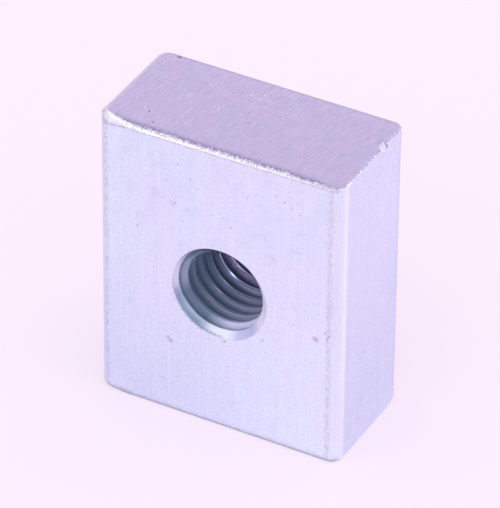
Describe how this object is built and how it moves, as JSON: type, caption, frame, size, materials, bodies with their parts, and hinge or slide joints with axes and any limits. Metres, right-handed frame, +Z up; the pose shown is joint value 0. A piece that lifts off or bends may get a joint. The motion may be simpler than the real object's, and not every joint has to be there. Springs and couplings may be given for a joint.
{
  "type": "rectangular block nut",
  "caption": "Rectangular zinc-plated steel block nut with rounded long edges, sawn ends and a countersunk hole with a left-hand thread through its broad faces.",
  "frame": {"origin": "on the base, the lower sawn end, under the middle of the block", "axes": "+Z up from the base to the upper sawn end, +X across the broad front face to the right, +Y through the block from the front face to the back face, along the thread"},
  "size_m": [0.032, 0.0154, 0.039],
  "materials": {
    "zinc_plated_steel": "satin"
  },
  "bodies": {
    "root": {"nut_block": "zinc_plated_steel"}
  },
  "joints": []
}
